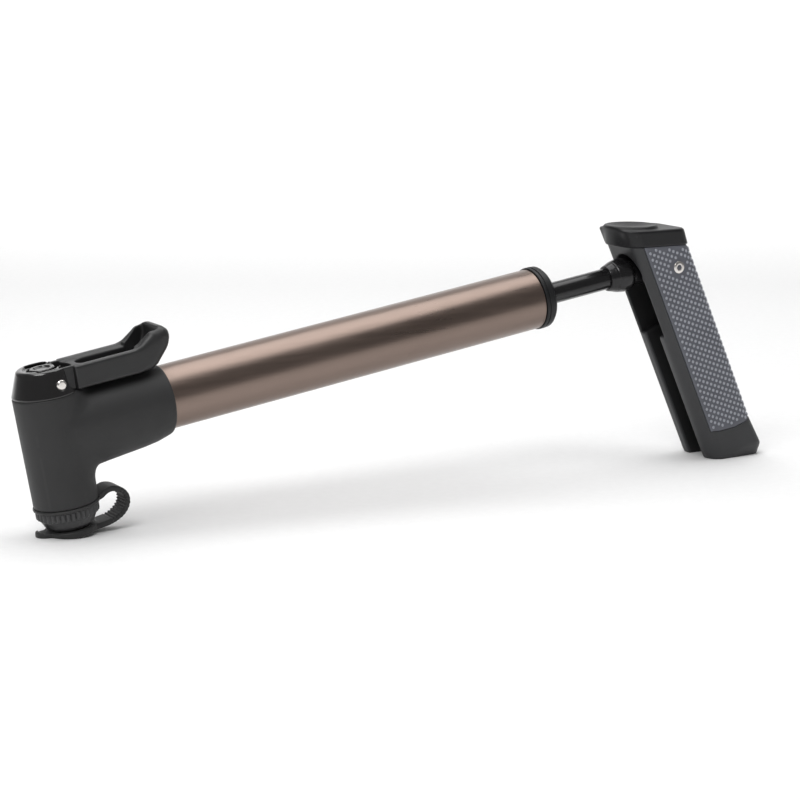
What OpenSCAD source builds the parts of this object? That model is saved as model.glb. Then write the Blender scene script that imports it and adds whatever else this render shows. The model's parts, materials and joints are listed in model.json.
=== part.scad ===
/* [Stance] */
// Rise of the barrel's axis above level, degrees
tilt = 9; // [7:0.1:10]
// Height of the barrel's axis above the floor at the head's axis
axis_h = 37; // [36.6:0.1:37.5]
// Lean of the handle away from upright, degrees
handle_lean = 24.2; // [22:0.1:28]

/* [Barrel] */
// Outer radius of the barrel
barrel_r = 11.1; // [11:0.05:11.3]
// Wall thickness of the barrel
barrel_wall = 1; // [0.8:0.1:1.1]
// Distance from the head's axis to the barrel's handle end
barrel_end = 190.5; // [170:0.5:230]

/* [Head] */
// Radius of the upright at its top
head_r_top = 11.6; // [11.4:0.1:12]
// Radius of the upright at its foot
head_r_foot = 11; // [10.6:0.1:11.2]
// Height of the upright's top above the barrel's axis
head_top = 12; // [12:0.1:12.4]
// Depth of the upright's foot below the barrel's axis
head_foot = 26.4; // [26:0.1:28]
// Distance from the head's axis to the collar's mouth
collar_end = 40.5; // [38:0.5:44]
// Radius of the collar at its mouth
collar_r = 12; // [11.9:0.05:12.2]
// Radius of the hole that takes a tyre valve
valve_r = 4; // [3.9:0.05:4.1]

/* [Lever] */
// Width of the lock lever
lever_w = 17.6; // [16:0.2:18]
// Travel of the plunger
plunger_travel = 2; // [1:0.1:2.2]

/* [Rod] */
// Radius of the piston rod
rod_r = 4; // [3.8:0.1:4.2]
// Length of rod shown between the end cap and the knuckle
rod_shown = 28.9; // [28.6:0.1:60]
// Radius of the knuckle
knuckle_r = 6.6; // [6.3:0.1:6.9]

/* [Handle] */
// Width of the handle
handle_w = 22.8; // [22:0.1:24]
// Depth of the handle in front of its pin, towards the head
handle_front = 14.5; // [13.5:0.1:15]
// Depth of the handle behind its pin
handle_back = 8.7; // [8:0.1:10]
// Radius of the handle's corners
handle_corner_r = 4.9; // [4:0.1:6]
// Height of the handle's top face above the floor
handle_top = 84.4; // [84:0.1:88]
// Width of the slot beside the knuckle
slot_w = 15.6; // [14.6:0.1:16]
// Width of the slot below the knuckle
slot_low_w = 8.9; // [8.5:0.1:9.4]
// Radius of the arch over the knuckle
arch_r = 7.5; // [7.3:0.1:7.6]

/* [Hidden] */
$fn = 96;
eps = 0.1;
gap = 0.05;
big = 60;

// Head stack along the upright's axis, measured from the barrel's axis
chamber_r = 7.6;
chamber_top = -3.8;
guide_r = 4.3;
grommet_top = -9.8;
washer_top = -8.3;
flange_top = -4;
flange_foot = -6;
strap_ring_t = 1;
ring_top = -head_foot - strap_ring_t;
ring_foot = -30.4;
nose_foot = -34.6;
spigot_top = -19.9;

// Lever, bonnet and pin
bonnet_top = 21;
bonnet_lip = 1.6;
pin_x = 2.2;
pin_z = 15.7;
pin_r = 1.6;
ear_t = 1.4;
ear_out = 6.9;
lever_front = 8.25;
notch_x = 5;
lever_foot = 12.4;
lever_roof = 20.4;

// Barrel stack along the barrel's axis
bore_r = barrel_r - barrel_wall;
socket_x = 16;
gasket_t = 1;
barrel_x = socket_x + gasket_t;
seat_t = 4;
disc_t = 1;
disc_r = 3.4;
disc_pocket_r = 3.8;
disc_pocket_t = 1.8;
cap_r = barrel_r + 0.5;
cap_end = barrel_end + 4.8;
guide_x = barrel_end - 8.5;
guide_pocket_r = 6.45;
bush_t = 6.6;
wiper_t = 2.4;

// Rod stack
knuckle_x = cap_end + rod_shown;
knuckle_back = knuckle_x + 23.2;
pivot_x = knuckle_back + 2.3;
pivot_r = 2;
rod_x = 62;
piston_x = 54;
bumper_t = 2.5;
screw_r = 2;

// Handle, in its own frame with the pin at the origin and +X towards its back
handle_cx = (handle_back - handle_front) / 2;
grip_t = 1.35;
grip_front = -11;
grip_foot = -68;
slot_step = -23;
slot_back = knuckle_r + knuckle_back - pivot_x + 0.5;
peg_r = 0.9;
peg_h = 3;
peg_y = 8.6;
cap_overhang = 0.5;
cap_disc_shift = 7.6;
cap_plate_h = 6;
cap_disc_h = 1.7;
cap_disc_r = 10.1;

// Where the pivot and the handle's centre line are, level with the floor
pivot_level = [pivot_x * cos(tilt), axis_h + pivot_x * sin(tilt)];
function handle_axis_x(z) = pivot_level[0] + handle_cx / cos(handle_lean)
    - (z - pivot_level[1]) * tan(handle_lean);

// The origin sits under the middle of the whole length
left_end = -head_r_top * cos(tilt) - (head_top + bonnet_lip) * sin(tilt);
right_end = handle_axis_x(0) + (handle_back - handle_cx) / cos(handle_lean);
centre_x = (left_end + right_end) / 2;

// Strap loop, centred beside the nose
loop_x = 14;
loop_z = -29.8;
loop_r = 7.2;
loop_t = 2;
loop_w = 9;
pad_r = 8.8;
pad_t = 2.6;

// Places children level with the floor, with x = 0 where the head's axis crosses the barrel's
module floor_frame() {
    translate([-centre_x, 0, 0]) children();
}

// Places children in the pump's frame: +X along the barrel, +Z up the head
module pump_frame() {
    floor_frame() translate([0, 0, axis_h]) rotate([0, -tilt, 0]) children();
}

// Places children in the handle's frame, with the pivot at the origin
module handle_frame() {
    pump_frame() translate([pivot_x, 0, 0]) rotate([0, tilt - handle_lean, 0]) children();
}

// A cylinder along +X from x0 to x1
module bar_x(x0, x1, r, r_end = undef) {
    translate([x0, 0, 0]) rotate([0, 90, 0]) cylinder(h = x1 - x0, r1 = r, r2 = is_undef(r_end) ? r : r_end);
}

// A cylinder along +Z from z0 to z1
module bar_z(z0, z1, r, r_end = undef) {
    translate([0, 0, z0]) cylinder(h = z1 - z0, r1 = r, r2 = is_undef(r_end) ? r : r_end);
}

// A cylinder along Y, centred on y = 0
module bar_y(length, r) {
    rotate([90, 0, 0]) cylinder(h = length, r = r, center = true);
}

// A flat ring along +X
module ring_x(x0, x1, r_out, r_in) {
    difference() {
        bar_x(x0, x1, r_out);
        bar_x(x0 - eps, x1 + eps, r_in);
    }
}

// A flat ring along +Z
module ring_z(z0, z1, r_out, r_in) {
    difference() {
        bar_z(z0, z1, r_out);
        bar_z(z0 - eps, z1 + eps, r_in);
    }
}

// A side outline in X and Z, extruded across Y
module side_slab(points, width) {
    rotate([90, 0, 0]) linear_extrude(width, center = true) polygon(points);
}

// A block from corner a to corner b
module block(a, b) {
    translate(a) cube(b - a);
}

module head_body() {
    color("#323232") pump_frame() difference() {
        union() {
            bar_z(-head_foot, head_top, head_r_foot, head_r_top);
            bar_x(3, collar_end, collar_r - 1, collar_r);
            // Gusset that blends the upright into the collar's underside
            side_slab([[-2, -17], [11.7, -16.4], [25.1, -14.8], [33, -14.2],
                       [collar_end - 2, -12.4], [collar_end - 2, -4], [-2, -4]], 12);
        }
        bar_x(socket_x, collar_end + eps, barrel_r + gap);
        bar_x(1, socket_x + eps, 2);
        bar_z(-head_foot - eps, chamber_top, chamber_r);
        bar_z(chamber_top - eps, head_top + eps, guide_r);
    }
}

module head_top_cap() {
    shoulder = head_top + bonnet_lip;
    // Room that the ears' upper corners need as the lever swings up
    ear_sweep = 5.6;
    ear_play = 0.35;
    color("#1c1a1a") pump_frame() difference() {
        rotate_extrude() polygon([[0, head_top], [head_r_top, head_top], [head_r_top, shoulder],
                                  [8.6, bonnet_top - 0.6], [8, bonnet_top], [0, bonnet_top]]);
        // Guide and recess for the plunger
        bar_z(head_top - eps, bonnet_top + eps, guide_r + 0.05);
        bar_z(bonnet_top - 1.2, bonnet_top + eps, 5.2);
        // Notch for the lever's front
        block([notch_x, -lever_w / 2 - 0.4, head_top - eps], [20, lever_w / 2 + 0.4, bonnet_top + 1]);
        // Slots for the lever's two ears
        for (side = [-1, 1])
            translate([0, side * (ear_out - ear_t / 2), 0])
                block([pin_x - ear_sweep, -ear_t / 2 - ear_play, head_top - eps],
                      [head_r_top + 1, ear_t / 2 + ear_play, bonnet_top + 1]);
        translate([pin_x, 0, pin_z]) bar_y(big, pin_r + 0.02);
    }
}

module lever_pin() {
    color("#d7cdc8") pump_frame() translate([pin_x, 0, pin_z]) bar_y(21.4, pin_r);
}

module lock_lever() {
    web_x = lever_front + 3.2;
    scallop_r = 9.6;
    color("#2b2b2c") pump_frame() difference() {
        union() {
            difference() {
                side_slab([[lever_front, lever_foot], [38, lever_foot], [41.1, 15.4], [43.8, 18.4],
                           [45.2, 21.4], [45.2, 23.8], [44, 25.6], [41.6, 26.3], [38.4, 25.8],
                           [35, 24], [31.6, lever_roof], [lever_front, lever_roof]], lever_w);
                // Scalloped front round the plunger
                bar_z(head_top - eps, bonnet_top + 1, scallop_r);
                // Long recess on top
                side_slab([[web_x + 2, lever_foot + 3], [34, lever_foot + 3], [38.6, 18.4],
                           [41.8, 22.4], [41.8, 28], [web_x, 28], [web_x, lever_roof - 1]], 8.4);
            }
            // Ears that reach down to the pin
            for (side = [-1, 1])
                translate([0, side * (ear_out - ear_t / 2), 0]) {
                    translate([pin_x, 0, pin_z]) bar_y(ear_t, 3);
                    side_slab([[pin_x, pin_z - 2.9], [web_x, lever_foot], [web_x, lever_roof],
                               [pin_x + 2.6, lever_roof], [pin_x - 0.8, pin_z + 2.9]], ear_t);
                }
        }
        translate([pin_x, 0, pin_z]) bar_y(big, pin_r + gap);
    }
}

module plunger() {
    color("#232324") pump_frame() difference() {
        union() {
            bar_z(flange_foot, flange_top, chamber_r - 0.3);
            bar_z(flange_top - eps, 7, 2.6);
            bar_z(7 - eps, bonnet_top - 0.7, guide_r - gap);
        }
        // Groove for the seal
        ring_z(9.5, 11.1, guide_r + 1, 3.3);
        // Slot that lets the plunger slide past the pin
        translate([pin_x, 0, pin_z]) bar_y(big, pin_r + 0.15);
        translate([pin_x, 0, pin_z + plunger_travel]) bar_y(big, pin_r + 0.15);
        block([pin_x - pin_r - 0.15, -10, pin_z], [pin_x + pin_r + 0.15, 10, pin_z + plunger_travel]);
        // Seat for the valve pin
        bar_z(flange_foot - eps, flange_foot + 3, 1);
    }
}

module plunger_o_ring() {
    color("#151515") pump_frame() translate([0, 0, 10.3])
        rotate_extrude() translate([3.77, 0]) circle(r = 0.45, $fn = 32);
}

module valve_pin() {
    color("#c9b37a") pump_frame() bar_z(grommet_top + eps, flange_foot + 2.9, 0.98);
}

module valve_grommet() {
    color("#1a1a1a") pump_frame() ring_z(spigot_top + eps, grommet_top, chamber_r - 0.1, valve_r + 0.1);
}

module grommet_washer() {
    color("#e6e2da") pump_frame() ring_z(grommet_top, washer_top, chamber_r - 0.1, valve_r + 0.3);
}

module nose_ring() {
    knurls = 36;
    ring_r = 10.8;
    knurl_r = 0.45;
    color("#3a3a3b") pump_frame() difference() {
        union() {
            bar_z(ring_foot, ring_top, ring_r);
            bar_z(nose_foot, ring_foot, 7.2, 9.6);
            bar_z(ring_top - eps, spigot_top, chamber_r - 0.1);
        }
        bar_z(nose_foot - eps, spigot_top + eps, valve_r);
        for (i = [0 : knurls - 1])
            rotate([0, 0, i * 360 / knurls]) translate([ring_r + 0.15, 0, ring_foot - eps])
                cylinder(h = 3, r = knurl_r, $fn = 16);
    }
}

module dust_cap() {
    tab_x = -3.6;
    tab_root = -2;
    tab_t = 1.9;
    tab_r = 3.5;
    pad_foot = nose_foot - gap - pad_t;
    tab_clear = 4;
    nose_clear_r = 9.9;
    color("#242424") difference() {
        union() {
            pump_frame() bar_z(pad_foot, nose_foot - gap, pad_r);
            pump_frame() block([0, -loop_w / 2, pad_foot], [9.4, loop_w / 2, nose_foot - gap]);
            floor_frame() block([tab_x, -tab_r, 0], [tab_root, tab_r, tab_t]);
            floor_frame() translate([tab_x, 0, 0]) cylinder(h = tab_t, r = tab_r);
        }
        floor_frame() block([-big, -big, -big], [big, big, 0]);
        // The tab's root stays under the nose
        pump_frame() bar_z(nose_foot - gap, nose_foot + tab_clear, nose_clear_r);
    }
}

module dust_cap_strap() {
    color("#242424") pump_frame() {
        ring_z(ring_top + 0.02, -head_foot - 0.02, head_r_foot + 0.3, chamber_r);
        difference() {
            translate([loop_x, 0, loop_z]) bar_y(loop_w, loop_r);
            translate([loop_x, 0, loop_z]) bar_y(big, loop_r - loop_t);
            bar_z(-45, -20, head_r_foot + 0.28);
            // Open side, facing the neck
            block([-big, -big, -45], [loop_x - 2.8, big, -20]);
        }
        // Rise beside the head, and run below to the pad
        block([head_r_foot + 0.28, -loop_w / 2, ring_top + 0.02], [head_r_foot + 1.9, loop_w / 2, -23.4]);
        side_slab([[9.5, nose_foot - gap - pad_t], [loop_x, loop_z - loop_r],
                   [loop_x, loop_z - loop_r + loop_t], [9.5, nose_foot - gap - pad_t + loop_t]], loop_w);
    }
}

module check_valve_seat() {
    color("#d8d4cc") pump_frame() difference() {
        bar_x(barrel_x, barrel_x + seat_t, bore_r - gap);
        bar_x(barrel_x - eps, barrel_x + disc_pocket_t, disc_pocket_r);
        bar_x(barrel_x - eps, barrel_x + seat_t + eps, 1.6);
    }
}

module check_disc() {
    color("#111111") pump_frame() bar_x(barrel_x + gap, barrel_x + gap + disc_t, disc_r);
}

module barrel_gasket() {
    color("#161616") pump_frame() ring_x(socket_x, barrel_x, barrel_r - 0.1, 3);
}

module barrel() {
    color("#82766f") pump_frame() ring_x(barrel_x, barrel_end, barrel_r, bore_r);
}

module barrel_end_cap() {
    rim = 1.4;
    color("#26262a") pump_frame() difference() {
        union() {
            bar_x(barrel_end, cap_end - rim, cap_r);
            bar_x(cap_end - rim, cap_end, cap_r, cap_r - rim);
            bar_x(guide_x, barrel_end + eps, bore_r - gap);
        }
        bar_x(guide_x - eps, cap_end - 4, guide_pocket_r);
        bar_x(cap_end - 5, cap_end + eps, rod_r + 0.15);
        ring_x(barrel_end + 1, barrel_end + 1.5, cap_r + 1, cap_r - 0.3);
    }
}

module rod_guide_bush() {
    color("#e9e6df") pump_frame() ring_x(guide_x, guide_x + bush_t, guide_pocket_r - gap, rod_r + 0.06);
}

module rod_wiper() {
    color("#8c8778") pump_frame()
        ring_x(guide_x + bush_t + gap, guide_x + bush_t + wiper_t, guide_pocket_r - gap, rod_r + 0.08);
}

module piston_rod() {
    color("#1f1e20") pump_frame() difference() {
        bar_x(rod_x, knuckle_x + 13, rod_r);
        bar_x(rod_x - eps, rod_x + 9, screw_r + gap);
    }
}

module piston() {
    color("#c8c4bb") pump_frame() difference() {
        bar_x(piston_x, rod_x, bore_r - 0.1);
        ring_x(piston_x + 2.6, piston_x + 5.4, bore_r + 1, 8.1);
        bar_x(piston_x - eps, rod_x + eps, screw_r + gap);
    }
}

module piston_o_ring() {
    color("#101010") pump_frame() translate([piston_x + 4, 0, 0]) rotate([0, 90, 0])
        rotate_extrude() translate([9.1, 0]) circle(r = 0.93, $fn = 32);
}

module piston_screw() {
    color("#b9b9bd") pump_frame() difference() {
        union() {
            bar_x(piston_x - 2.6, piston_x, 3.6);
            bar_x(piston_x - eps, rod_x + 8, screw_r);
        }
        bar_x(piston_x - 3, piston_x - 1, 1.5);
    }
}

module rod_bumper() {
    color("#191919") pump_frame() ring_x(rod_x, rod_x + bumper_t, 8, rod_r + 0.02);
}

module rod_knuckle() {
    nose = 3.6;
    color("#2b292c") pump_frame() difference() {
        union() {
            bar_x(knuckle_x, knuckle_x + nose, 4.7, knuckle_r);
            bar_x(knuckle_x + nose, knuckle_back, knuckle_r);
            translate([knuckle_back, 0, 0]) sphere(r = knuckle_r);
        }
        bar_x(knuckle_x - eps, knuckle_x + 13, rod_r + 0.02);
        translate([pivot_x, 0, 0]) bar_y(big, pivot_r + gap);
    }
}

// The handle's section, grown all round by grow and to the front by overhang
module handle_section(grow = 0, overhang = 0) {
    x0 = -handle_front - overhang - grow;
    x1 = handle_back + grow;
    y1 = handle_w / 2 + grow;
    r = handle_corner_r + grow;
    translate([x0 + r, -y1]) square([x1 - x0 - 2 * r, 2 * y1]);
    translate([x0, r - y1]) square([x1 - x0, 2 * (y1 - r)]);
    for (x = [x0 + r, x1 - r])
        for (y = [r - y1, y1 - r])
            translate([x, y]) circle(r = r);
}

// The handle's leaning body, cut level between heights z0 and z1
module handle_block(z0, z1, grow = 0, overhang = 0) {
    intersection() {
        handle_frame() translate([0, 0, -2 * big]) linear_extrude(4 * big) handle_section(grow, overhang);
        block([0, -big, z0], [4 * big, big, z1]);
    }
}

// The space that the grip sleeve takes, open to the front
module grip_seat(inner, outer, foot, top, front) {
    intersection() {
        difference() {
            handle_block(0, top, outer);
            handle_block(-1, top + 1, inner);
        }
        handle_frame() block([front, -big, foot], [big, big, big]);
    }
}

module handle_body() {
    color("#41424a") difference() {
        handle_block(0, handle_top);
        grip_seat(-grip_t, 1, grip_foot, handle_top + eps, grip_front);
        // Space round the knuckle, open to the front and closed above in an arch
        pump_frame() translate([pivot_x, 0, 0]) {
            bar_x(-30, knuckle_back - pivot_x, arch_r);
            translate([knuckle_back - pivot_x, 0, 0]) bar_y(slot_w - 1, knuckle_r + 0.5);
        }
        handle_frame() block([-30, -slot_w / 2, slot_step], [slot_back + 0.2, slot_w / 2, 1]);
        // Slot down to the handle's foot
        handle_frame() block([-30, -slot_low_w / 2, -2 * big], [1, slot_low_w / 2, slot_step + eps]);
        handle_frame() bar_y(big, pivot_r + 0.02);
        // Holes for the top cap's pegs
        for (side = [-1, 1])
            floor_frame() translate([handle_axis_x(handle_top), side * peg_y, 0])
                bar_z(handle_top - peg_h - 0.4, handle_top + eps, peg_r + gap);
    }
}

module handle_grip() {
    color("#585b66") difference() {
        grip_seat(-grip_t + 0.02, gap, grip_foot + gap, handle_top - gap, grip_front + gap);
        handle_frame() bar_y(big, pivot_r + 0.02);
    }
}

module handle_top_cap() {
    color("#2c2c2f") {
        handle_block(handle_top, handle_top + cap_plate_h, 0.5, cap_overhang);
        for (side = [-1, 1])
            floor_frame() translate([handle_axis_x(handle_top), side * peg_y, handle_top - peg_h])
                cylinder(h = peg_h + eps, r = peg_r);
        floor_frame() translate([handle_axis_x(handle_top) - cap_disc_shift, 0, handle_top])
            cylinder(h = cap_plate_h + cap_disc_h, r1 = cap_disc_r - 1, r2 = cap_disc_r);
    }
}

module handle_pin() {
    color("#c9c4c0") handle_frame() bar_y(handle_w + 0.4, pivot_r);
}

head_body();
head_top_cap();
lever_pin();
lock_lever();
plunger();
plunger_o_ring();
valve_pin();
valve_grommet();
grommet_washer();
nose_ring();
dust_cap();
dust_cap_strap();
check_valve_seat();
check_disc();
barrel_gasket();
barrel();
barrel_end_cap();
rod_guide_bush();
rod_wiper();
piston_rod();
piston();
piston_o_ring();
piston_screw();
rod_bumper();
rod_knuckle();
handle_body();
handle_grip();
handle_top_cap();
handle_pin();
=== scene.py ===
import json
import math

import bpy
import numpy as np
from mathutils import Matrix, Vector


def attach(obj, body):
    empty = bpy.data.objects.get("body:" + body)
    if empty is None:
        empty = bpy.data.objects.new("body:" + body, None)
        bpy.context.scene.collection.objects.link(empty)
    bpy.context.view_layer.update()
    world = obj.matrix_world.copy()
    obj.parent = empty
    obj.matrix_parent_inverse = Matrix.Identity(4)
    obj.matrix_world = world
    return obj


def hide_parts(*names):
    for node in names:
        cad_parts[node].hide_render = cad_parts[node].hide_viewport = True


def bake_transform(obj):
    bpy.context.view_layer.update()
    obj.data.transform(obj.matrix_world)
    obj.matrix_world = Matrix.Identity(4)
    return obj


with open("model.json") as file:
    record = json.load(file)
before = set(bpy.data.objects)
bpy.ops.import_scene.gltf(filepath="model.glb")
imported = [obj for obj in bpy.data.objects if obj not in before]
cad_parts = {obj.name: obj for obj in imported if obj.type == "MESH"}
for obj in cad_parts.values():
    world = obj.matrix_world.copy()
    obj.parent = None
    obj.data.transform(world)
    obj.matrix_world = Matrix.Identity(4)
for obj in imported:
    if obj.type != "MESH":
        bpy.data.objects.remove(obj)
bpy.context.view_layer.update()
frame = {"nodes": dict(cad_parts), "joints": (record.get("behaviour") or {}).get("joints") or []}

MM = 0.001

# ---------------------------------------------------------------- frames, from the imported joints

joints = {j["name"]: j for j in frame["joints"]}
along = Vector(joints["rod_slide"]["axis"]).normalized()
up = Vector((-along.z, 0, along.x))
# Lever pin's place in the pump frame, as (along the barrel, up)
LEVER_PIN = (2.2, 15.7)
lever_at = Vector(joints["lever_pivot"]["pos_m"])
pivot_at = Vector(joints["handle_pivot"]["pos_m"])
head_at = lever_at - along * LEVER_PIN[0] * MM - up * LEVER_PIN[1] * MM
PIVOT_Z = pivot_at.z / MM
LEAN = math.radians(24.2)
back = Vector((math.cos(LEAN), 0, math.sin(LEAN)))
rise = Vector((-math.sin(LEAN), 0, math.cos(LEAN)))


def frame_matrix(x_axis, z_axis, origin):
    """Millimetres in a local frame to metres in the row frame."""
    y_axis = z_axis.cross(x_axis)
    m = Matrix((x_axis, y_axis, z_axis)).transposed() * MM
    return Matrix.Translation(origin) @ m.to_4x4()


PUMP = frame_matrix(along, up, head_at)
HANDLE = frame_matrix(back, rise, pivot_at)
LEVEL = frame_matrix(Vector((1, 0, 0)), Vector((0, 0, 1)), Vector((pivot_at.x, 0, 0)))


def pump_height(x, z):
    """Height above the floor, in millimetres, of a point in the pump frame."""
    return head_at.z / MM + x * along.z + z * up.z


def handle_height(x, z):
    """Height above the floor, in millimetres, of a point in the handle frame."""
    return PIVOT_Z + x * back.z + z * rise.z


# ---------------------------------------------------------------- mesh tools

def finish_piece(name, verts, faces, place, material, sharp=40, slots=None):
    """A mesh object from local millimetres, in its place in the row frame."""
    mesh = bpy.data.meshes.new(name)
    mesh.from_pydata([tuple(v) for v in verts], [], [tuple(f) for f in faces])
    mesh.validate()
    mesh.transform(place)
    mesh.update()
    mesh.shade_smooth()
    if sharp < 180:
        mesh.set_sharp_from_angle(angle=math.radians(sharp))
    piece = bpy.data.objects.new(name, mesh)
    bpy.context.scene.collection.objects.link(piece)
    for m in material if isinstance(material, (list, tuple)) else [material]:
        mesh.materials.append(m)
    if slots is not None:
        mesh.polygons.foreach_set("material_index", np.asarray(slots, np.int32))
    return piece


def rounded(points, steps=5):
    """An outline with rounded corners. Each point is (a, b) or (a, b, radius)."""
    out = []
    n = len(points)
    for i, p in enumerate(points):
        radius = p[2] if len(p) > 2 else 0
        here = np.array(p[:2], float)
        if not radius:
            out.append(here)
            continue
        before = np.array(points[i - 1][:2], float) - here
        after = np.array(points[(i + 1) % n][:2], float) - here
        la, lb = np.linalg.norm(before), np.linalg.norm(after)
        before, after = before / la, after / lb
        half = math.acos(max(-1, min(1, float(before @ after)))) / 2
        cut = min(radius / math.tan(half), la * 0.49, lb * 0.49)
        r = cut * math.tan(half)
        middle = before + after
        centre = here + middle / np.linalg.norm(middle) * (r / math.sin(half))
        start, end = here + before * cut - centre, here + after * cut - centre
        a0 = math.atan2(start[1], start[0])
        turn = math.atan2(end[1], end[0]) - a0
        turn = (turn + math.pi) % (2 * math.pi) - math.pi
        for k in range(steps + 1):
            a = a0 + turn * k / steps
            out.append(centre + r * np.array((math.cos(a), math.sin(a))))
    return out


def turned(profile, around="x", segments=144, shape=None):
    """A closed outline of (distance along the axis, radius), spun round the axis.
    shape(along, radius, angle) may change the radius, for knurls."""
    outline = np.array(profile, float)
    angles = np.arange(segments) * 2 * math.pi / segments
    verts, faces, rows = [], [], []
    for a, r in outline:
        if r < 1e-6:
            rows.append([len(verts)])
            verts.append((a, 0.0, 0.0))
            continue
        rows.append(list(range(len(verts), len(verts) + segments)))
        for t in angles:
            q = r if shape is None else shape(a, r, t)
            verts.append((a, q * math.cos(t), q * math.sin(t)))
    n = len(rows)
    for i in range(n):
        one, two = rows[i], rows[(i + 1) % n]
        if len(one) == 1 and len(two) == 1:
            continue
        for k in range(segments):
            j = (k + 1) % segments
            if len(one) == 1:
                faces.append((one[0], two[j], two[k]))
            elif len(two) == 1:
                faces.append((one[k], one[j], two[0]))
            else:
                faces.append((one[k], one[j], two[j], two[k]))
    verts = np.array(verts)
    if around == "z":
        verts = np.stack((verts[:, 1], verts[:, 2], verts[:, 0]), 1)
    elif around == "y":
        verts = np.stack((verts[:, 2], verts[:, 0], verts[:, 1]), 1)
    volume = 0.0
    for f in faces:
        for k in range(1, len(f) - 1):
            volume += np.dot(verts[f[0]], np.cross(verts[f[k]], verts[f[k + 1]]))
    if volume < 0:
        faces = [f[::-1] for f in faces]
    return verts, faces


def smax(a, b, k):
    h = np.clip(0.5 + 0.5 * (a - b) / k, 0, 1)
    return b + (a - b) * h + k * h * (1 - h)


def smin(a, b, k):
    return -smax(-a, -b, k)


def outline_distance(points, x, z):
    """Signed distance to a closed outline, negative inside."""
    p = np.array(points, float)
    best = np.full(np.shape(x), 1e9)
    inside = np.zeros(np.shape(x), bool)
    for i in range(len(p)):
        a, b = p[i - 1], p[i]
        e = b - a
        wx, wz = x - a[0], z - a[1]
        t = np.clip((wx * e[0] + wz * e[1]) / (e @ e), 0, 1)
        best = np.minimum(best, (wx - e[0] * t) ** 2 + (wz - e[1] * t) ** 2)
        crosses = (a[1] > z) != (b[1] > z)
        slope = e[0] / e[1] if abs(e[1]) > 1e-12 else 0.0
        inside ^= crosses & (x < slope * (z - a[1]) + a[0])
    best = np.sqrt(best)
    return np.where(inside, -best, best)


def skin(field, low, high, step, rounds=4):
    """The zero surface of a distance field, as vertices and quads that lie on it."""
    axes = [np.arange(low[i], high[i] + step, step) for i in range(3)]
    grid = np.meshgrid(*axes, indexing="ij", sparse=False)
    value = field(*grid)
    n = value.shape
    cells = tuple(k - 1 for k in n)
    total = np.zeros((3, cells[0] * cells[1] * cells[2]))
    count = np.zeros(total.shape[1])
    quads = []
    for a in range(3):
        b, c = (a + 1) % 3, (a + 2) % 3
        lower, upper = [slice(None)] * 3, [slice(None)] * 3
        lower[a], upper[a] = slice(0, -1), slice(1, None)
        v0, v1 = value[tuple(lower)], value[tuple(upper)]
        where = np.argwhere((v0 < 0) != (v1 < 0))
        keep = (where[:, b] > 0) & (where[:, b] < n[b] - 1)
        keep &= (where[:, c] > 0) & (where[:, c] < n[c] - 1)
        where = where[keep]
        f0, f1 = v0[tuple(where.T)], v1[tuple(where.T)]
        at = np.stack([axes[q][where[:, q]] for q in range(3)])
        at[a] += f0 / (f0 - f1) * step
        ring = []
        for db, dc in ((0, 0), (1, 0), (1, 1), (0, 1)):
            cell = where.copy()
            cell[:, b] -= db
            cell[:, c] -= dc
            flat = np.ravel_multi_index(tuple(cell.T), cells)
            count += np.bincount(flat, minlength=count.size)
            for q in range(3):
                total[q] += np.bincount(flat, weights=at[q], minlength=count.size)
            ring.append(flat)
        ring = np.stack(ring, 1)
        quads.append(np.where((f0 < 0)[:, None], ring, ring[:, ::-1]))
    quads = np.concatenate(quads)
    used, index = np.unique(quads, return_inverse=True)
    quads = index.reshape(-1, 4)
    p = (total[:, used] / count[used]).copy()
    h = step * 0.1
    for _ in range(rounds):
        f = field(*p)
        grad = []
        for q in range(3):
            one, two = p.copy(), p.copy()
            one[q] += h
            two[q] -= h
            grad.append((field(*one) - field(*two)) / (2 * h))
        grad = np.stack(grad)
        move = f * grad / np.maximum((grad ** 2).sum(0), 0.05)
        size = np.sqrt((move ** 2).sum(0))
        move *= np.minimum(1, 0.4 * step / np.maximum(size, 1e-9))
        p -= move
    return p.T, quads


# ---------------------------------------------------------------- materials

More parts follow.
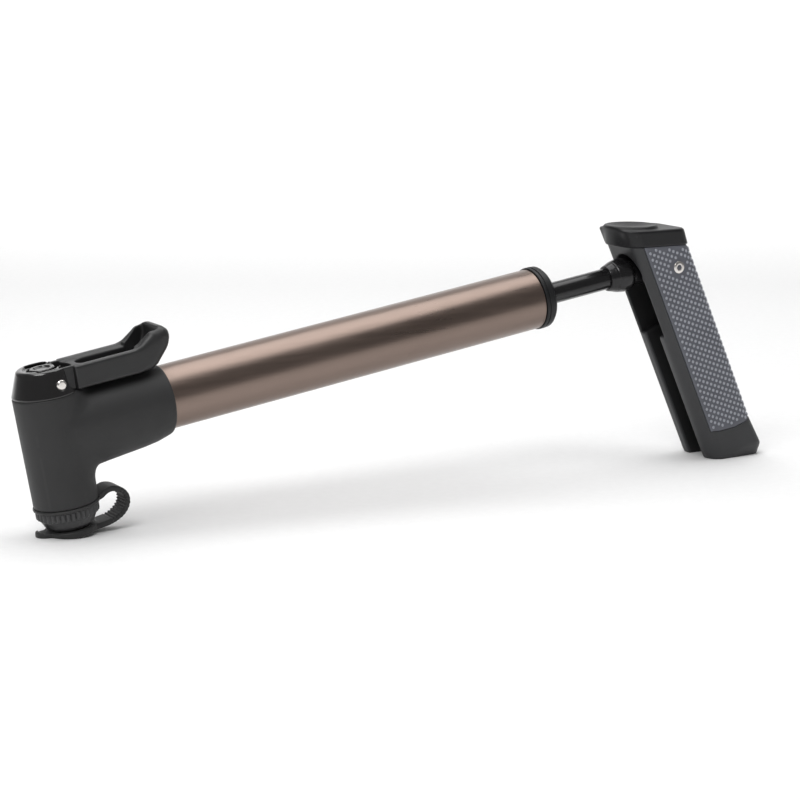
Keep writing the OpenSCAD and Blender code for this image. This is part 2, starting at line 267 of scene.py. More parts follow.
class Shade:
    """A node material, built up one node at a time."""

    def __init__(self, name):
        self.material = bpy.data.materials.new(name)
        self.material.use_nodes = True
        self.tree = self.material.node_tree
        self.tree.nodes.clear()
        self.out = self.tree.nodes.new("ShaderNodeOutputMaterial")
        self.body = self.tree.nodes.new("ShaderNodeBsdfPrincipled")
        self.link(self.body.outputs[0], self.out.inputs[0])
        self.place = self.tree.nodes.new("ShaderNodeTexCoord").outputs["Object"]

    def link(self, a, b):
        self.tree.links.new(a, b)

    def set(self, **values):
        for key, value in values.items():
            self.body.inputs[key.replace("_", " ")].default_value = value

    def mapped(self, scale=(1, 1, 1), turn=0.0):
        node = self.tree.nodes.new("ShaderNodeMapping")
        node.inputs["Rotation"].default_value = (0, turn, 0)
        node.inputs["Scale"].default_value = scale
        self.link(self.place, node.inputs["Vector"])
        return node.outputs[0]

    def noise(self, scale, detail=3.0, rough=0.5, at=None, distortion=0.0):
        node = self.tree.nodes.new("ShaderNodeTexNoise")
        node.inputs["Scale"].default_value = scale
        node.inputs["Detail"].default_value = detail
        node.inputs["Roughness"].default_value = rough
        node.inputs["Distortion"].default_value = distortion
        self.link(at or self.place, node.inputs["Vector"])
        return node.outputs[0]

    def cells(self, scale, at=None):
        node = self.tree.nodes.new("ShaderNodeTexVoronoi")
        node.inputs["Scale"].default_value = scale
        self.link(at or self.place, node.inputs["Vector"])
        return node.outputs["Distance"]

    def range(self, value, low, high, to_low, to_high):
        node = self.tree.nodes.new("ShaderNodeMapRange")
        node.inputs["From Min"].default_value = low
        node.inputs["From Max"].default_value = high
        node.inputs["To Min"].default_value = to_low
        node.inputs["To Max"].default_value = to_high
        self.link(value, node.inputs["Value"])
        return node.outputs[0]

    def math(self, kind, a, b):
        node = self.tree.nodes.new("ShaderNodeMath")
        node.operation = kind
        for i, v in enumerate((a, b)):
            if isinstance(v, (int, float)):
                node.inputs[i].default_value = v
            else:
                self.link(v, node.inputs[i])
        return node.outputs[0]

    def mix(self, fac, a, b):
        node = self.tree.nodes.new("ShaderNodeMix")
        node.data_type = "RGBA"
        for socket, v in ((node.inputs[6], a), (node.inputs[7], b)):
            if isinstance(v, tuple):
                socket.default_value = (*v, 1)
            else:
                self.link(v, socket)
        self.link(fac, node.inputs[0])
        return node.outputs[2]

    def worn_edge(self, low=0.515, high=0.6):
        node = self.tree.nodes.new("ShaderNodeNewGeometry")
        return self.range(node.outputs["Pointiness"], low, high, 0.0, 1.0)

    def relief(self, height, distance, strength=1.0, under=None):
        node = self.tree.nodes.new("ShaderNodeBump")
        node.inputs["Strength"].default_value = strength
        node.inputs["Distance"].default_value = distance
        self.link(height, node.inputs["Height"])
        if under is not None:
            self.link(under, node.inputs["Normal"])
        return node.outputs[0]

    def colour(self, value):
        self.link(value, self.body.inputs["Base Color"])

    def roughness(self, value):
        self.link(value, self.body.inputs["Roughness"])

    def normal(self, value):
        self.link(value, self.body.inputs["Normal"])


def dim(c, k):
    return tuple(min(1.0, v * k) for v in c)


def moulded(name, base, rough, grain=4200, depth=0.014, vary=0.16, smudge=0.10, edge=1.5, coat=0.0,
            sheen=0.0, level=0.5):
    """Moulded plastic or rubber: fine surface grain, faint cloudiness, handling smudges and rubbed edges."""
    s = Shade(name)
    cloud = s.noise(75, 4, 0.55)
    fine = s.noise(grain, 2, 0.6)
    pits = s.cells(grain * 0.42)
    tone = s.mix(s.range(cloud, 0.3, 0.7, 0, 1), dim(base, 1 - vary), dim(base, 1 + vary))
    tone = s.mix(s.range(fine, 0.35, 0.75, 0, 0.35), tone, dim(base, 1.35))
    tone = s.mix(s.math("MULTIPLY", s.worn_edge(), 0.55), tone, dim(base, edge))
    s.colour(tone)
    wipe = s.noise(28, 5, 0.6, distortion=0.8)
    s.roughness(s.math("ADD", s.range(wipe, 0.3, 0.7, rough - smudge / 2, rough + smudge / 2),
                       s.range(fine, 0.3, 0.7, -0.03, 0.03)))
    bump = s.relief(s.math("ADD", s.math("MULTIPLY", pits, 0.6), fine), depth * MM, 0.8)
    s.normal(s.relief(cloud, 0.03 * MM, 0.25, bump))
    s.set(Coat_Weight=coat, Coat_Roughness=0.08, Sheen_Weight=sheen, Sheen_Roughness=0.45,
          Specular_IOR_Level=level)
    return s.material


def metal(name, base, rough, turn=0.0, stretch=(14, 900, 900), vary=0.1, metallic=1.0, depth=0.004,
          coat=0.0, spot=0.05):
    """Metal with a fine directional grain, faint clouding, small scuffs and handling marks."""
    s = Shade(name)
    lines = s.noise(1.0, 4, 0.65, at=s.mapped(stretch, turn))
    cloud = s.noise(22, 4, 0.55)
    fine = s.noise(5200, 1, 0.5)
    tone = s.mix(s.range(cloud, 0.3, 0.7, 0, 1), dim(base, 1 - vary * 0.5), dim(base, 1 + vary * 0.5))
    tone = s.mix(s.range(lines, 0.35, 0.7, 0, 0.5), tone, dim(base, 1 + vary))
    tone = s.mix(s.range(fine, 0.4, 0.75, 0, 0.5), tone, dim(base, 1 + vary * 1.3))
    marks = s.noise(1.0, 6, 0.7, at=s.mapped((120, 950, 950), turn), distortion=1.4)
    scuff = s.range(marks, 0.66, 0.74, 0, spot)
    tone = s.mix(scuff, tone, dim(base, 1.7))
    s.colour(tone)
    s.roughness(s.math("ADD", s.range(lines, 0.3, 0.7, rough - 0.05, rough + 0.05),
                       s.range(cloud, 0.3, 0.7, -0.03, 0.03)))
    s.normal(s.relief(fine, depth * MM, 0.6, s.relief(lines, depth * MM, 0.5)))
    s.set(Metallic=metallic, Coat_Weight=coat, Coat_Roughness=0.1)
    return s.material


TILT = math.atan2(along.z, along.x)
BRONZE = metal("anodised_bronze", (0.230, 0.176, 0.150), 0.33, turn=TILT, vary=0.10)
SOFT_BLACK = moulded("soft_black", (0.0165, 0.0165, 0.017), 0.6, grain=3600, depth=0.02, vary=0.10, sheen=0.05)
GLOSS_BLACK = moulded("gloss_black", (0.0075, 0.0070, 0.0072), 0.2, grain=2600, depth=0.003, coat=0.5, edge=2.6)
LEVER_BLACK = moulded("lever_black", (0.016, 0.016, 0.0165), 0.44, grain=3200, depth=0.014, edge=1.9)
NOSE_GREY = moulded("nose_grey", (0.036, 0.036, 0.037), 0.38, grain=3000, depth=0.010, edge=1.5)
RUBBER = moulded("strap_rubber", (0.016, 0.016, 0.016), 0.6, grain=2400, depth=0.022, edge=1.7, sheen=0.15)
ROD_BLACK = metal("rod_black", (0.016, 0.0155, 0.0165), 0.26, turn=TILT, vary=0.25, metallic=0.55, coat=0.25)
STEEL = metal("steel_bright", (0.74, 0.71, 0.68), 0.2, stretch=(900, 900, 300), vary=0.1, depth=0.003)
CHARCOAL = moulded("handle_charcoal", (0.026, 0.0265, 0.0285), 0.48, grain=3600, depth=0.012,
                   vary=0.08, edge=1.7)
CAP_BLACK = moulded("handle_cap_black", (0.0085, 0.0085, 0.0095), 0.44, grain=3200, depth=0.010,
                    edge=2.2, level=0.34)
# Darker material for the faces inside the handle's slot: painted shade, as the slot is deep
SLOT_PAINTED_SHADE = moulded("slot_painted_shade", (0.0085, 0.0085, 0.009), 0.6, grain=3200, depth=0.012, vary=0.12,
                     edge=1.3)
GRIP = moulded("grip_grey", (0.100, 0.104, 0.122), 0.64, grain=2600, depth=0.02, vary=0.10, edge=1.6, sheen=0.1)
DOTS = moulded("grip_dots", (0.275, 0.285, 0.32), 0.55, grain=2600, depth=0.012, vary=0.10, edge=1.5)
SEAL = moulded("seal_rubber", (0.012, 0.012, 0.012), 0.35, grain=2200, depth=0.006, edge=1.6)
NATURAL = moulded("inner_plastic", (0.62, 0.59, 0.54), 0.42, grain=2200, depth=0.008, vary=0.06, edge=1.1)
FELT = moulded("wiper_felt", (0.26, 0.24, 0.19), 0.9, grain=1500, depth=0.15, vary=0.25, edge=1.2, sheen=0.6)
BRASS = metal("valve_brass", (0.62, 0.46, 0.20), 0.27, stretch=(300, 300, 1800), vary=0.12)


def put(piece, body, nodes):
    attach(piece, body)
    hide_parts(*nodes)
    return piece


# ---------------------------------------------------------------- head

HEAD_TOP, HEAD_FOOT, COLLAR_END = 12.0, 26.4, 40.5


def head_field(x, y, z):
    r = 11.0 + 0.6 * (z + HEAD_FOOT) / (HEAD_TOP + HEAD_FOOT)
    upright = np.hypot(x, y) - r
    wide = np.interp(x, [0, 12, 20, 40], [11.3, 11.75, 11.85, 11.97])
    high = np.interp(x, [0, 12, 20, 40], [11.2, 11.7, 11.85, 11.97])
    low = np.interp(x, [0, 8, 12, 16, 24, 30, 35, 39, 41],
                    [17.4, 16.9, 16.45, 16.0, 15.3, 14.8, 14.1, 13.0, 12.3])
    tall = np.where(z < 0, low, high)
    collar = (np.hypot(y / wide, z / tall) - 1) * np.minimum(wide, tall)
    collar = smax(collar, x - COLLAR_END, 0.9)
    collar = np.maximum(collar, -x)
    q = np.clip(np.abs(y) / 11.0, 0, 1) ** 2
    body = smin(upright, collar, 0.6 + 1.5 * (1 - q) + 3.0 * 4 * q * (1 - q) * 0.9)
    body = smax(body, z - HEAD_TOP, 0.7)
    body = smax(body, -HEAD_FOOT - z, 0.8)
    # Socket for the barrel, and the valve chamber below the plunger's guide
    socket = smax(np.hypot(y, z) - 11.15, 16 - x, 0.3)
    body = smax(body, -socket, 0.3)
    body = smax(body, -smax(np.hypot(y, z) - 2, -1 - x, 0.3), 0.3)
    body = smax(body, -smax(np.hypot(x, y) - 7.6, z + 3.8, 0.3), 0.3)
    return smax(body, 4.32 - np.hypot(x, y), 0.3)


v, f = skin(head_field, (-12.6, -12.8, -27.4), (41.6, 12.8, 13.0), 0.36)
put(finish_piece("head_shell", v, f, PUMP, SOFT_BLACK, 180), "pump", ["head_body"])


def bonnet_field(x, y, z):
    r = np.hypot(x, y)
    cone = (r - np.interp(z, [12, 12.5, 20.6, 22], [11.5, 11.55, 8.8, 8.2])) * 0.94
    body = smax(cone, z - 21.0, 1.0)
    body = smax(body, 12.02 - z, 0.25)
    # Raised lip round the button, with a dished step inside it
    body = smax(body, -smax(r - 6.4, 20.4 - z, 0.4), 0.4)
    body = smax(body, -smax(r - 5.2, 19.2 - z, 0.4), 0.4)
    body = smax(body, 4.36 - r, 0.3)
    # Notch for the lever's front, slots for its two ears, and the pin's hole
    notch = smax(5.0 - x, np.abs(y) - 9.3, 0.3)
    body = smax(body, -notch, 0.4)
    ears = smax(np.abs(np.abs(y) - 6.2) - 1.05, -4.0 - x, 0.3)
    body = smax(body, -ears, 0.3)
    return smax(body, 1.66 - np.hypot(x - LEVER_PIN[0], z - LEVER_PIN[1]), 0.25)


v, f = skin(bonnet_field, (-12.45, -12.45, 11.4), (12.5, 12.5, 22.2), 0.25)
put(finish_piece("bonnet", v, f, PUMP, GLOSS_BLACK, 180), "pump", ["head_top_cap"])

# Button: a dished top inside a ring, a seal groove and a flanged foot
button = rounded([(-6, 0), (-6, 7.3, 0.3), (-4, 7.3, 0.3), (-4, 2.6), (7, 2.6), (7, 4.25, 0.2), (9.5, 4.25),
                  (9.5, 3.3), (11.1, 3.3), (11.1, 4.25), (20.75, 4.25, 0.45), (20.75, 3.1, 0.2),
                  (20.25, 2.7, 0.2), (20.25, 0)], 4)
v, f = turned(button, "z", 96)
put(finish_piece("plunger_button", v, f, PUMP, GLOSS_BLACK, 35), "plunger", ["plunger"])

pin = rounded([(-10.75, 0), (-10.75, 1.2, 0.3), (-10.35, 1.78, 0.25), (-9.9, 1.78, 0.1), (-9.9, 1.6),
               (9.9, 1.6), (9.9, 1.78, 0.1), (10.35, 1.78, 0.25), (10.75, 1.2, 0.3), (10.75, 0)], 4)
v, f = turned(pin, "y", 64)
at_pin = PUMP @ Matrix.Translation((LEVER_PIN[0], 0, LEVER_PIN[1]))
put(finish_piece("lever_cross_pin", v, f, at_pin, STEEL, 50), "pump", ["lever_pin"])

# ---------------------------------------------------------------- lock lever

SIDE = rounded([(8.25, 12.4, 0.4), (36.0, 12.4, 4), (38.6, 13.4, 4), (43.4, 18.7, 8), (44.5, 21.9, 6),
                (44.2, 24.3, 2.0), (42.2, 26.1, 2.0), (40.6, 26.1, 2), (37.1, 25.2, 5), (35.7, 23.9, 5),
                (31.5, 20.6, 6), (8.25, 20.4, 0.5)], 6)
HOLLOW = rounded([(9, 14.9), (32.8, 14.9, 4), (38.0, 18.0, 5), (40.2, 22.0, 5), (40.8, 30), (9, 30)], 6)
EAR = [(2.2, 12.6), (10.5, 12.4), (10.5, 20.4), (4.4, 20.4), (0.9, 18.9)]
HALF_LEVER = 8.8
SCALLOP = 9.65


def lever_field(x, y, z):
    body = outline_distance(SIDE, x, z)
    # The paddle's flanks round over more and more towards its tip
    soft = 1.1 + 3.3 * np.clip((x - 31) / 8, 0, 1)
    body = smax(body, np.abs(y) - HALF_LEVER, soft)
    body = smax(body, SCALLOP - np.hypot(x, y), 0.4)
    # A gentle dish between two flat rims, then the long recess with a round start
    dish = smax(np.abs(y) - 6.2, 20.4 - 0.65 * np.clip((6.6 - np.abs(y)) / 2.2, 0, 1) - z, 0.5)
    body = smax(body, -smax(dish, x - 31.5, 0.8), 0.3)
    wide = 4.3 + 2.0 * np.clip((x - 32) / 7, 0, 1)
    plan = np.hypot(np.minimum(x - 16.4, 0), y) - wide
    hollow = smax(plan, outline_distance(HOLLOW, x, z), 1.3)
    body = smax(body, -hollow, 0.7)
    ears = np.minimum(outline_distance(EAR, x, z), np.hypot(x - LEVER_PIN[0], z - LEVER_PIN[1]) - 3.0)
    ears = smax(ears, np.abs(np.abs(y) - 6.2) - 0.7, 0.3)
    body = smin(body, ears, 0.4)
    return smax(body, 1.65 - np.hypot(x - LEVER_PIN[0], z - LEVER_PIN[1]), 0.2)


v, f = skin(lever_field, (-2.4, -9.6, 11.4), (46.4, 9.6, 27.2), 0.29)
put(finish_piece("thumb_lever", v, f, PUMP, LEVER_BLACK, 180), "lever", ["lock_lever"])

# ---------------------------------------------------------------- nose and dust cap

TEETH = 36


def knurl(a, r, t):
    if r < 10.4 or a > -27.3 or a < -30.5:
        return r
    tooth = 0.5 + 0.5 * math.cos(TEETH * t)
    return r - 0.62 * (1 - tooth ** 0.6) * min(1, (r - 10.4) / 0.3)


nose = rounded([(-34.6, 4), (-34.6, 6.9, 0.7), (-33.2, 8.5, 1.6), (-31.2, 9.5, 1.2), (-30.45, 9.6, 0.15),
                (-30.4, 10.35), (-30.15, 10.78), (-29.4, 10.8), (-28.4, 10.8), (-27.65, 10.78), (-27.42, 10.35),
                (-27.4, 7.5), (-19.9, 7.5), (-19.9, 4)], 4)
v, f = turned(nose, "z", 36 * 10, knurl)
put(finish_piece("nose_collar", v, f, PUMP, NOSE_GREY, 40), "pump", ["nose_ring"])


def spline(points, steps=8):
    """A smooth line through the points."""
    p = [np.array(q, float) for q in points]
    p = [2 * p[0] - p[1], *p, 2 * p[-1] - p[-2]]
    out = []
    for i in range(1, len(p) - 2):
        a, b, c, d = p[i - 1:i + 3]
        for k in range(steps):
            t = k / steps
            out.append(0.5 * (2 * b + (c - a) * t + (2 * a - 5 * b + 4 * c - d) * t * t
                              + (3 * b - a - 3 * c + d) * t ** 3))
    return np.array([*out, p[-2]])


# The strap's centre line in the pump frame, from the neck round to the pad
LOOP = spline([(9.6, -26.9), (11.4, -26.4), (13.0, -25.5), (15.0, -25.0), (17.2, -25.5), (19.2, -26.9),
               (20.3, -29.0), (20.1, -31.4), (18.6, -33.6), (16.1, -35.2), (13.0, -36.1), (9.4, -36.4),
               (5, -36.3)])


def along_loop(x, z):
    """Distance to the strap's centre line, its side (positive inside the loop) and the length along it."""
    best = np.full(np.shape(x), 1e9)
    side = np.zeros(np.shape(x))
    length = np.zeros(np.shape(x))
    start = 0.0
    for a, b in zip(LOOP[:-1], LOOP[1:]):
        e = b - a
        size = math.hypot(*e)
        wx, wz = x - a[0], z - a[1]
        t = np.clip((wx * e[0] + wz * e[1]) / size ** 2, 0, 1)
        d = (wx - e[0] * t) ** 2 + (wz - e[1] * t) ** 2
        near = d < best
        best = np.where(near, d, best)
        side = np.where(near, np.sign(e[1] * wx - e[0] * wz), side)
        length = np.where(near, start + size * t, length)
        start += size
    return np.sqrt(best), side, length


def strap_field(x, y, z):
    d, side, length = along_loop(x, z)
    rib = 0.5 + 0.5 * np.cos(length * 2 * math.pi / 1.25)
    ribbed = np.clip((length - 8.5) / 1.5, 0, 1) * np.clip((24.5 - length) / 1.5, 0, 1)
    half = 0.95 - 0.42 * (1 - rib) * ribbed * (side > 0)
    narrow = 4.4 - 0.25 * (1 - rib) * ribbed
    strap = smax(d - half, np.abs(y) - narrow, 0.6)
    r = np.hypot(x, y)
    neck = smax(smax(r - 11.35, np.abs(z + 26.9) - 0.48, 0.35), 7.7 - r, 0.2)
    pad = smax(r - 8.9, np.abs(z + 35.95) - 1.28, 0.7)
    # A shallow dish under the nose, with a plug's rim round it
    pad = smax(pad, -smax(r - 7.3, -34.9 - z, 0.3), 0.3)
    height = pump_height(x, z)
    level_x = x * along.x - z * along.z
    tongue = np.abs(y) - 3.7
    tab_end = np.hypot(np.minimum(level_x + 3.5, 0), y) - 3.4
    tab = smax(smax(tab_end, level_x - 3, 0.5), height - 1.9, 0.6)
    tab = smax(tab, -smax(np.hypot(level_x + 2.4, height - 2.4) - 1.05, tongue - 1, 0.3), 0.4)
    body = smin(smin(pad, tab, 1.0), strap, 0.8)
    body = smin(body, neck, 0.3)
    # Clear of the nose, and flat on the floor
    body = smax(body, -smax(r - 11.0, np.abs(z + 31) - 3.55, 0.2), 0.25)
    return smax(body, 0.02 - height, 0.25)


v, f = skin(strap_field, (-15, -11.8, -39.5), (22, 11.8, -21.5), 0.3)
strap = finish_piece("dust_cap_and_strap", v, f, PUMP, RUBBER, 180)
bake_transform(strap)
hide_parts("dust_cap", "dust_cap_strap")

# ---------------------------------------------------------------- barrel and rod

tube = rounded([(17, 10.1), (17, 11.1), (190.3, 11.1, 0.3), (190.48, 10.1)], 4)
v, f = turned(tube, "x", 192)
put(finish_piece("barrel_tube", v, f, PUMP, BRONZE, 35), "pump", ["barrel"])

END = 195.3
mouth = rounded([(182, 6.45), (182, 10.05), (190.52, 10.05), (190.52, 11.55, 0.35), (191.5, 11.6, 0.2),
                 (191.62, 11.25, 0.05), (191.98, 11.25, 0.05), (192.1, 11.6, 0.2), (END - 1.1, 11.45, 0.7),
                 (END, 10.4, 0.5), (END, 8.3, 0.3), (END - 0.7, 7.7, 0.3), (END - 0.7, 4.7, 0.3),
                 (END - 1.2, 4.16), (191.3, 4.16), (191.3, 6.45)], 5)
v, f = turned(mouth, "x", 160)
put(finish_piece("barrel_mouth_ring", v, f, PUMP, CAP_BLACK, 40), "pump", ["barrel_end_cap"])

KNUCKLE = END + 28.9
rod = rounded([(62, 2.05), (62, 4.0, 0.3), (KNUCKLE + 13, 4.0, 0.3), (KNUCKLE + 13, 0), (71, 0), (71, 2.05)], 3)
v, f = turned(rod, "x", 96)
put(finish_piece("rod_tube", v, f, PUMP, ROD_BLACK, 35), "rod", ["piston_rod"])

arc = [(KNUCKLE + 23.2 + 6.6 * math.sin(a), 6.6 * math.cos(a)) for a in np.radians(np.arange(0, 91, 7.5))]
arc[-1] = (arc[-1][0], 0.0)
front = rounded([(KNUCKLE + 13.1, 0), (KNUCKLE + 13.1, 4.03), (KNUCKLE - 0.3, 4.03), (KNUCKLE - 0.3, 4.7, 0.5),
                 (KNUCKLE + 1.7, 5.35, 1.4), (KNUCKLE + 2.4, 5.65, 0.4), (KNUCKLE + 2.6, 5.6, 0.1),
                 (KNUCKLE + 2.8, 5.65, 0.1), (KNUCKLE + 3.1, 5.85, 0.4), (KNUCKLE + 5.4, 6.35, 3),
                 (KNUCKLE + 9, 6.6, 3)], 4)
v, f = turned(front + [np.array(q) for q in arc], "x", 128)
put(finish_piece("knuckle", v, f, PUMP, ROD_BLACK, 30), "rod", ["rod_knuckle"])

# ---------------------------------------------------------------- handle

FRONT, BACK, HALF_W, CORNER = 14.5, 8.7, 11.4, 4.9
TOP = 84.4
GRIP_FRONT = -11.0
PANEL_FOOT = ([-12, -11.2, -7.4, -0.6, 6, 9], [65.4, 65.8, 67.6, 69.7, 70.4, 70.5])


def section(x, y, grow=0.0, front=0.0):
    """Distance to the handle's rounded-rectangle section."""
    cx = (BACK - FRONT - front) / 2
    hx = (BACK + FRONT + front) / 2 + grow
    r = CORNER + grow
    qx, qy = np.abs(x - cx) - (hx - r), np.abs(y) - (HALF_W + grow - r)
    return np.hypot(np.maximum(qx, 0), np.maximum(qy, 0)) + np.minimum(np.maximum(qx, qy), 0) - r


def panel_foot(x):
    return -np.interp(x, *PANEL_FOOT)


SWING = LEAN - TILT


SLEEVE_SEAT = 1.36
SEAM = 0.12


def handle_field(x, y, z):
    height = handle_height(x, z)
    outer = section(x, y)
    seat = outer + SLEEVE_SEAT
    covered = np.maximum(GRIP_FRONT - SEAM - x, panel_foot(x) - SEAM - z)
    # The boot flares out at the back, over a bevelled sole that is flat on the floor
    rear = np.clip((x + 11) / 16, 0, 1)
    flare = section(x - 1.2 * np.interp(height, [0, 4.5, 15.8], [0.2, 1, 0]) * rear, y)
    # The shell is cut back where the sleeve lies on it
    body = np.minimum(seat, smax(flare, -covered, 0.12))
    edge = 0.4 + 4.1 * rear
    sole = (flare - (height - edge) * 0.45) * 0.91
    body = smax(smax(body, sole, 0.5), -height, 0.4)
    body = smax(body, height - TOP, 0.3)
    # Space round the knuckle, closed above in an arch, then a long slot to the foot
    across = x * math.sin(SWING) + z * math.cos(SWING)
    reach = x * math.cos(SWING) - z * math.sin(SWING)
    arch = smax(np.hypot(y, across) - 7.5, reach - 4.9, 1.0)
    upper = smax(smax(np.abs(y) - 7.5, np.abs(z + 11) - 12, 0.5), x - 4.9, 1.0)
    lower = smax(smax(np.abs(y) - 4.4, z + 21, 0.5), x - 1.0, 1.0)
    space = smin(smin(arch, upper, 0.4), lower, 1.2)
    body = smax(body, -space, 0.8)
    # Holes for the cap's pegs, and the rivet's hole
    level_x = x * back.x + z * rise.x - PLUG_X
    peg = smax(np.hypot(level_x, np.abs(y) - PEG_Y) - PEG_R - 0.06, TOP - PEG_H - 0.1 - height, 0.1)
    body = smax(body, -peg, 0.1)
    return smax(body, 2.04 - np.hypot(x, z), 0.2)


def axis_x(height):
    """Where the handle's middle line is at a height, from the pivot."""
    return (BACK - FRONT) / 2 / math.cos(LEAN) - (height - PIVOT_Z) * math.tan(LEAN)


PLUG_X = axis_x(TOP)
PEG_R, PEG_H, PEG_Y = 0.9, 3.0, 8.6
v, f = skin(handle_field, (-15.4, -12.4, -91), (10.9, 12.4, 16.5), 0.36)
# The faces inside the slot get a near-black material: painted shade for the deep slot
middles = v[f].mean(1)
inside = (np.abs(middles[:, 1]) < 7.6) & (middles[:, 0] > -FRONT + 0.9) & (middles[:, 0] < BACK - 1.6)
inside &= handle_height(middles[:, 0], middles[:, 2]) < TOP - 0.3
shell = finish_piece("handle_shell", v, f, HANDLE, [CHARCOAL, SLOT_PAINTED_SHADE], 180, inside.astype(int))
put(shell, "handle", ["handle_body"])


def cap_field(x, y, z):
    """In a level frame whose origin is on the floor under the pivot."""
    hx = x * back.x + (z - PIVOT_Z) * back.z
    lean_in = np.clip((TOP + 6.4 - z) / 6.4, 0, 1)
    plate = section(hx - 0.5 * (1 - lean_in) * (hx > 4), y * (1 + 0.03 * lean_in), 0.5, 0.4)
    plate = smax(plate, z - (TOP + 6.3), 1.2)
    plate = smax(plate, TOP + 0.05 - z, 0.5)
    dx = x - (PLUG_X - 7.6)
    r = np.hypot(dx, y)
    disc = smax(r - 10.1 + 0.16 * np.clip(TOP + 6.4 - z, 0, 9), z - (TOP + 7.6), 1.0)
    disc = smax(disc, TOP + 0.05 - z, 0.6)
    body = smin(plate, disc, 1.4)
    # Dished thumb rest with a soft rim
    dish = np.sqrt(dx ** 2 + y ** 2 + (z - (TOP + 7.6 + 35.0)) ** 2) - 36.1
    dish = smax(dish, r - 8.8, 0.5)
    body = smax(body, -dish, 0.5)
    peg = smax(np.hypot(x - PLUG_X, np.abs(y) - PEG_Y) - PEG_R, TOP - PEG_H - z, 0.1)
    peg = np.maximum(peg, z - TOP - 1)
    return smin(body, peg, 0.1)


v, f = skin(cap_field, (-31.5, -12.9, 79.4), (11, 12.9, 93), 0.3)
put(finish_piece("handle_cap", v, f, LEVEL, CAP_BLACK, 180), "handle", ["handle_top_cap"])

rivet = rounded([(-11.72, 1.0, 0.15), (-11.72, 1.5, 0.2), (-11.58, 2.25, 0.2), (-11.3, 2.4, 0.1), (-11.3, 2.0),
                 (11.3, 2.0), (11.3, 2.4, 0.1), (11.58, 2.25, 0.2), (11.72, 1.5, 0.2), (11.72, 1.0, 0.15),
                 (10.4, 0.9, 0.2), (10.2, 0), (-10.2, 0), (-10.4, 0.9, 0.2)], 4)
v, f = turned(rivet, "y", 72)
put(finish_piece("handle_rivet", v, f, HANDLE, STEEL, 40), "handle", ["handle_pin"])


def grip_path(inset, n_corner=14):
    """Points and outward normals round the sleeve's section, from one front edge to the other."""
    r = CORNER - inset
    y1, x1 = HALF_W - inset, BACK - inset
    pts = []
    for x in np.linspace(GRIP_FRONT, x1 - r, 30)[:-1]:
        pts.append((x, -y1, 0, -1))
    for a in np.linspace(-90, 0, n_corner)[:-1]:
        c, s = math.cos(math.radians(a)), math.sin(math.radians(a))
        pts.append((x1 - r + r * c, -(y1 - r) + r * s, c, s))
    for y in np.linspace(-(y1 - r), y1 - r, 26)[:-1]:
        pts.append((x1, y, 1, 0))
    for a in np.linspace(0, 90, n_corner)[:-1]:
        c, s = math.cos(math.radians(a)), math.sin(math.radians(a))
        pts.append((x1 - r + r * c, (y1 - r) + r * s, c, s))
    for x in np.linspace(x1 - r, GRIP_FRONT, 30):
        pts.append((x, y1, 0, 1))
    return np.array(pts)


def sleeve():
    outer, inner = grip_path(0.05), grip_path(1.32)
    n_u, n_v = len(outer), 60
    verts, faces = [], []

    def span(x):
        top = (TOP - 0.12 - PIVOT_Z - x * back.z) / rise.z
        return top, panel_foot(x)

    def rows(path, inset_edge):
        grid = []
        for i, (x, y, nx, ny) in enumerate(path):
            top, foot = span(x)
            line = []
            for k in range(n_v + 1):
                z = top + (foot - top) * k / n_v
                line.append(len(verts))
                edge = i in (0, n_u - 1) or k in (0, n_v)
                d = inset_edge if edge else 0.0
                verts.append((x - nx * d, y - ny * d, z))
            grid.append(line)
        return grid

    a, b = rows(outer, 0.28), rows(inner, 0.0)
    for i in range(n_u - 1):
        for k in range(n_v):
            faces.append((a[i][k + 1], a[i + 1][k + 1], a[i + 1][k], a[i][k]))
            faces.append((b[i][k], b[i + 1][k], b[i + 1][k + 1], b[i][k + 1]))
    for i in range(n_u - 1):
        faces.append((a[i][0], a[i + 1][0], b[i + 1][0], b[i][0]))
        faces.append((b[i][n_v], b[i + 1][n_v], a[i + 1][n_v], a[i][n_v]))
    for k in range(n_v):
        faces.append((b[0][k], b[0][k + 1], a[0][k + 1], a[0][k]))
        faces.append((a[-1][k], a[-1][k + 1], b[-1][k + 1], b[-1][k]))
    slots = [0] * len(faces)
    # Raised dots in a diamond lattice
    gaps = np.hypot(*np.diff(outer[:, :2], axis=0).T)
    run = np.concatenate(([0], np.cumsum(gaps)))
    pitch_u, pitch_v, r, high, ring = 2.75, 2.7, 0.56, 0.28, 12
    count = int((run[-1] - 2.2) / pitch_u)
    margin = (run[-1] - count * pitch_u) / 2
    for half in (0, 1):
        for iu in range(count + 1 - half):
            s = margin + (iu + half / 2) * pitch_u
            x, y = np.interp(s, run, outer[:, 0]), np.interp(s, run, outer[:, 1])
            nx, ny = np.interp(s, run, outer[:, 2]), np.interp(s, run, outer[:, 3])
            size = math.hypot(nx, ny)
            nx, ny = nx / size, ny / size
            top, foot = span(x)
            first = math.ceil((foot + 1.3) / pitch_v - half / 2)
            z = (first + half / 2) * pitch_v
            while z < top - 1.2:
                if math.hypot(x, z) > 3.1 or abs(ny) < 0.5:
                    base = len(verts)
                    for q, h in ((1.0, -0.08), (0.93, 0.12), (0.6, 0.25)):
                        for m in range(ring):
                            t = 2 * math.pi * m / ring
                            du, dv = r * q * math.cos(t), r * q * math.sin(t) * 1.12
                            verts.append((x - ny * du + nx * h, y + nx * du + ny * h, z + dv))
                    verts.append((x + nx * high, y + ny * high, z))
                    for level in (0, 1):
                        for m in range(ring):
                            j = (m + 1) % ring
                            o = base + level * ring
                            faces.append((o + m, o + j, o + ring + j, o + ring + m))
                    for m in range(ring):
                        o = base + 2 * ring
                        faces.append((o + m, o + (m + 1) % ring, base + 3 * ring))
                    faces.append(tuple(base + m for m in reversed(range(ring))))
                z += pitch_v
    slots += [1] * (len(faces) - len(slots))
    return verts, faces, slots


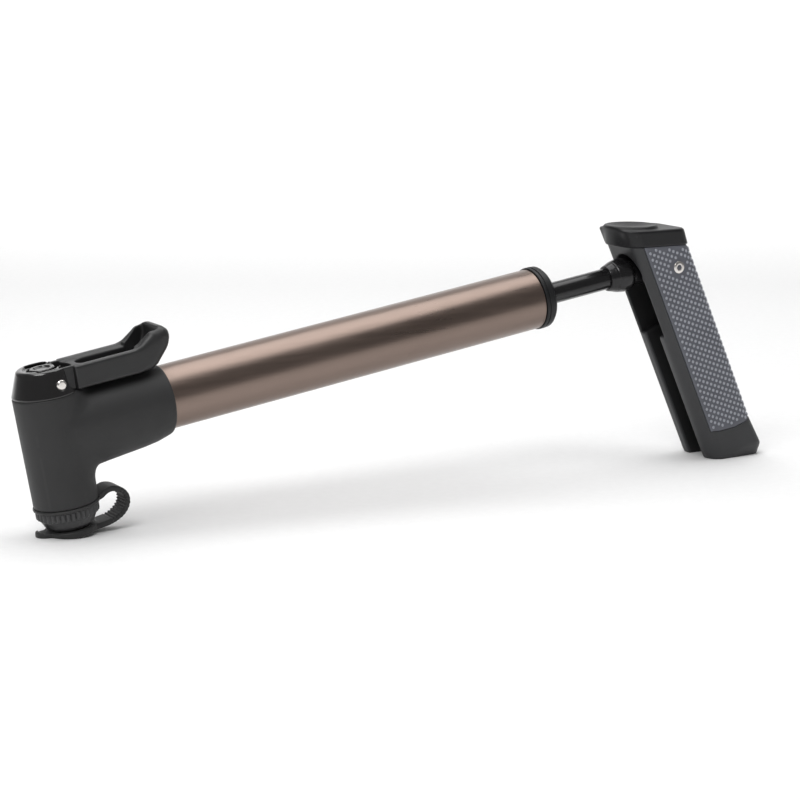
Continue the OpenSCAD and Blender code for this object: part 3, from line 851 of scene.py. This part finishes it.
v, f, s = sleeve()
grip = finish_piece("grip_sleeve", v, f, HANDLE, [GRIP, DOTS], 50, s)
put(grip, "handle", ["handle_grip"])

# ---------------------------------------------------------------- inner parts keep their CAD meshes

INNER = {"plunger_o_ring": SEAL, "valve_pin": BRASS, "valve_grommet": SEAL, "grommet_washer": NATURAL,
         "check_valve_seat": NATURAL, "check_disc": SEAL, "barrel_gasket": SEAL, "rod_guide_bush": NATURAL,
         "rod_wiper": FELT, "piston": NATURAL, "piston_o_ring": SEAL, "piston_screw": STEEL, "rod_bumper": SEAL}
for name, look in INNER.items():
    node = frame["nodes"][name]
    if not node.data.materials:
        node.data.materials.append(look)
    for i in range(len(node.data.materials)):
        node.data.materials[i] = look

# ---------------------------------------------------------------- floor, light and camera

def stage_material():
    s = Shade("studio_paper")
    cloud = s.range(s.noise(300, 3, 0.5), 0.3, 0.7, 0, 1)
    s.colour(s.mix(cloud, (0.86, 0.86, 0.86), (0.88, 0.88, 0.88)))
    s.set(Roughness=0.9, Specular_IOR_Level=0.15)
    return s.material


def backdrop():
    """A floor that curves up into a wall behind, square to the camera."""
    profile = [(-1.6, 0.0), (1.4, 0.0)]
    for a in np.radians(np.arange(7.5, 91, 7.5)):
        profile.append((1.4 + 0.5 * math.sin(a), 0.5 - 0.5 * math.cos(a)))
    profile.append((1.9, 2.4))
    verts = []
    for side in (-2.4, 2.4):
        verts += [(side, a, b) for a, b in profile]
    n = len(profile)
    faces = [(i, i + n, i + n + 1, i + 1) for i in range(n - 1)]
    mesh = bpy.data.meshes.new("backdrop")
    mesh.from_pydata(verts, [], faces)
    mesh.shade_smooth()
    mesh.materials.append(stage_material())
    cloth = bpy.data.objects.new("backdrop", mesh)
    bpy.context.scene.collection.objects.link(cloth)
    return cloth


AZIMUTH, ELEVATION = math.radians(-29.32), math.radians(10.67)
away = Vector((math.sin(AZIMUTH) * math.cos(ELEVATION), -math.cos(AZIMUTH) * math.cos(ELEVATION),
               math.sin(ELEVATION)))
cloth = backdrop()
cloth.rotation_euler = (0, 0, AZIMUTH)


def soft_light(name, at, aim, size, power, colour=(1, 1, 1)):
    data = bpy.data.lights.new(name, "AREA")
    data.shape = "RECTANGLE"
    data.size, data.size_y = size
    data.energy = power
    data.color = colour
    lamp = bpy.data.objects.new(name, data)
    bpy.context.scene.collection.objects.link(lamp)
    lamp.location = at
    lamp.rotation_mode = "QUATERNION"
    lamp.rotation_quaternion = (Vector(aim) - Vector(at)).to_track_quat("-Z", "Y")
    return lamp


spin = Matrix.Rotation(AZIMUTH, 4, "Z")


def studio(x, y, z):
    """A place in the studio: x to the camera's right, y away from the camera."""
    return spin @ Vector((x, y, z))


soft_light("overhead_soft", studio(0, 0.25, 1.15), studio(0, 0.15, 0), (1.5, 1.1), 13)
soft_light("front_soft", studio(-0.35, -0.75, 0.95), studio(0, 0, 0.05), (0.7, 0.45), 7)
soft_light("backdrop_wash", studio(0, 0.9, 0.9), studio(0, 1.9, 0.5), (2.4, 0.5), 14)

world = bpy.data.worlds.new("studio")
world.use_nodes = True
world.node_tree.nodes["Background"].inputs[0].default_value = (1, 1, 1, 1)
world.node_tree.nodes["Background"].inputs[1].default_value = 0.2
scene = bpy.context.scene
scene.world = world
scene.view_settings.view_transform = "Standard"
scene.view_settings.look = "None"

camera_data = bpy.data.cameras.new("camera")
camera_data.sensor_width = 36
camera_data.lens = 108.9
camera_data.clip_start, camera_data.clip_end = 0.01, 20
camera = bpy.data.objects.new("camera", camera_data)
scene.collection.objects.link(camera)
camera.location = (-0.4247, -0.7464, 0.1953)
camera.rotation_mode = "QUATERNION"
camera.rotation_quaternion = (-away).to_track_quat("-Z", "Y")
scene.camera = camera
